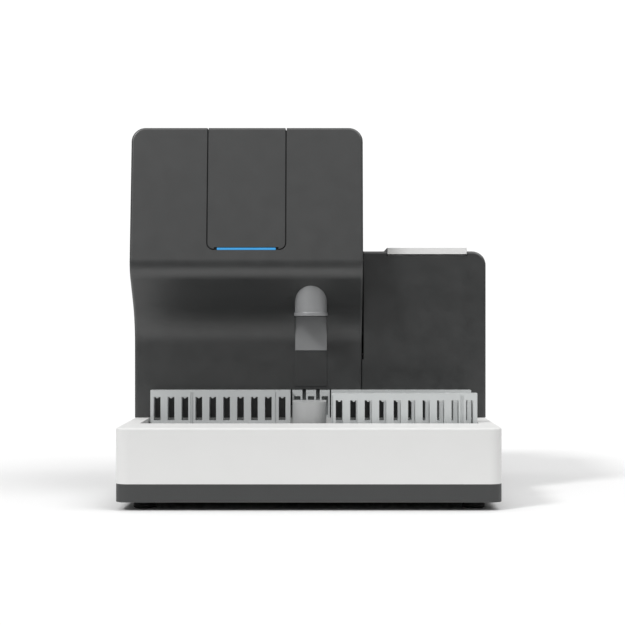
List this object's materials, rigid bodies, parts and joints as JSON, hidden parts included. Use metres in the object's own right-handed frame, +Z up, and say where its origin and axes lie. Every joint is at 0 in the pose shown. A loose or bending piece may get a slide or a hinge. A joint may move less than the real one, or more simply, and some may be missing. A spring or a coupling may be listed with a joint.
{
  "type": "urine analyzer",
  "caption": "Bench-top urine analyzer: white rack tray in front of a dark leaning tower with a probe hood, a lower side box with a strip lid, and sliding tube racks.",
  "frame": {"origin": "on the bench under the middle of the footprint", "axes": "+X to the right seen from the front, +Y towards the back, +Z up"},
  "size_m": [0.51, 0.6, 0.5252],
  "materials": {
    "black_rubber": "matt",
    "plinth_plastic": "fine texture",
    "white_plastic": "satin",
    "grey_plastic": "fine spark texture",
    "cover_plastic": "fine spark texture",
    "lid_plastic": "satin",
    "rack_plastic": "satin",
    "reader_plastic": "satin",
    "reader_glass": "polished",
    "light_blue": "lit",
    "steel_sheet": "brushed",
    "polished_steel": "ground",
    "silver_paint": "satin",
    "aluminium_part": "milled",
    "black_plastic": "satin",
    "motor_black": "satin",
    "board_green": "solder mask",
    "tray_plastic": "satin"
  },
  "bodies": {
    "housing": {"rubber_feet": "black_rubber", "plinth_pan": "plinth_plastic", "base_housing": "white_plastic", "chassis_plate": "steel_sheet", "rack_tray": "tray_plastic", "tower_shell": "grey_plastic", "side_box_shell": "grey_plastic", "rear_panel": "grey_plastic", "cover_frame": "black_plastic", "cover_hinge_pin": "polished_steel", "light_bar": "light_blue", "lid_hinge_pin": "polished_steel", "strip_hopper": "reader_plastic", "drum_motor": "motor_black", "strip_rails": "aluminium_part", "optical_head": "motor_black", "waste_bin": "black_plastic", "bin_stand": "steel_sheet", "gantry_plate": "steel_sheet", "travel_rods": "polished_steel", "travel_motor": "motor_black", "probe_hood": "silver_paint", "probe_plate": "silver_paint", "probe_column": "grey_plastic", "reader_housing": "reader_plastic", "reader_window": "reader_glass", "tube_guide": "rack_plastic", "feed_rails": "aluminium_part", "feed_motors": "motor_black", "pump_body": "black_plastic", "power_supply": "steel_sheet", "main_board": "board_green", "fan_frame": "black_plastic", "power_inlet": "black_plastic", "data_ports": "steel_sheet", "fluid_ports": "aluminium_part", "rear_screws": "polished_steel"},
    "cover": {"access_cover": "cover_plastic"},
    "lid": {"strip_lid": "lid_plastic"},
    "carriage": {"probe_carriage": "aluminium_part", "lift_bracket": "steel_sheet", "lift_rod": "polished_steel", "lift_motor": "motor_black"},
    "lift_spindle": {"lift_screw": "polished_steel"},
    "arm": {"probe_arm": "aluminium_part", "sample_probe": "polished_steel"},
    "travel_spindle": {"travel_screw": "polished_steel"},
    "output_rack": {"left_rack": "rack_plastic"},
    "front_rack": {"right_front_rack": "rack_plastic"},
    "rear_rack": {"right_rear_rack": "rack_plastic"},
    "feeder": {"input_pusher": "black_plastic"},
    "ejector": {"output_pusher": "black_plastic"},
    "shuttle": {"lane_shuttle": "black_plastic"},
    "drum": {"strip_drum": "black_plastic"},
    "strip_feeder": {"strip_pusher": "aluminium_part"},
    "fan": {"fan_rotor": "black_plastic"},
    "pump": {"pump_rotor": "reader_plastic"},
    "rocker": {"power_rocker": "black_plastic"}
  },
  "joints": [
    {"name": "cover_hinge", "type": "hinge", "parent": "housing", "child": "cover", "pos_m": [-0.09, 0.044, 0.5225], "axis": [-1, 0, 0], "range_deg": [0, 65]},
    {"name": "lid_hinge", "type": "hinge", "parent": "housing", "child": "lid", "pos_m": [0.1695, 0.0906, 0.3516], "axis": [-1, 0, 0], "range_deg": [0, 95]},
    {"name": "probe_travel", "type": "slide", "parent": "housing", "child": "carriage", "axis": [0, 1, 0], "range_m": [0, 0.09]},
    {"name": "travel_screw_spin", "type": "hinge", "parent": "housing", "child": "travel_spindle", "pos_m": [-0.022, 0, 0.4275], "axis": [0, 1, 0], "continuous": true},
    {"name": "probe_lift", "type": "slide", "parent": "carriage", "child": "arm", "axis": [0, 0, -1], "range_m": [0, 0.15]},
    {"name": "lift_screw_spin", "type": "hinge", "parent": "carriage", "child": "lift_spindle", "pos_m": [0.00115, -0.058, 0.38], "axis": [0, 0, 1], "continuous": true},
    {"name": "output_rack_slide", "type": "slide", "parent": "housing", "child": "output_rack", "axis": [0, -1, 0], "range_m": [0, 0.1148]},
    {"name": "ejector_slide", "type": "slide", "parent": "housing", "child": "ejector", "axis": [0, -1, 0], "range_m": [0, 0.1148]},
    {"name": "front_rack_slide", "type": "slide", "parent": "housing", "child": "front_rack", "axis": [0, 1, 0], "range_m": [0, 0.08]},
    {"name": "feeder_slide", "type": "slide", "parent": "housing", "child": "feeder", "axis": [0, 1, 0], "range_m": [0, 0.08]},
    {"name": "rear_rack_slide", "type": "slide", "parent": "housing", "child": "rear_rack", "axis": [-1, 0, 0], "range_m": [0, 0.058]},
    {"name": "shuttle_slide", "type": "slide", "parent": "housing", "child": "shuttle", "axis": [-1, 0, 0], "range_m": [0, 0.058]},
    {"name": "drum_spin", "type": "hinge", "parent": "housing", "child": "drum", "pos_m": [0.1695, 0.02, 0.262], "axis": [1, 0, 0], "continuous": true},
    {"name": "strip_feed", "type": "slide", "parent": "housing", "child": "strip_feeder", "axis": [-1, 0, 0], "range_m": [0, 0.11]},
    {"name": "fan_spin", "type": "hinge", "parent": "housing", "child": "fan", "pos_m": [-0.09, 0.285, 0.4], "axis": [0, 1, 0], "continuous": true},
    {"name": "pump_spin", "type": "hinge", "parent": "housing", "child": "pump", "pos_m": [0.15, 0.095, 0.128], "axis": [0, 1, 0], "continuous": true},
    {"name": "rocker_tilt", "type": "hinge", "parent": "housing", "child": "rocker", "pos_m": [0.19, 0.295, 0.172], "axis": [-1, 0, 0], "range_deg": [0, 16]}
  ],
  "couplings": [
    {"joint": "travel_screw_spin", "follows": "probe_travel", "rad_per_m": 314.16},
    {"joint": "lift_screw_spin", "follows": "probe_lift", "rad_per_m": 314.16},
    {"joint": "ejector_slide", "follows": "output_rack_slide", "ratio": 1},
    {"joint": "feeder_slide", "follows": "front_rack_slide", "ratio": 1},
    {"joint": "shuttle_slide", "follows": "rear_rack_slide", "ratio": 1}
  ]
}
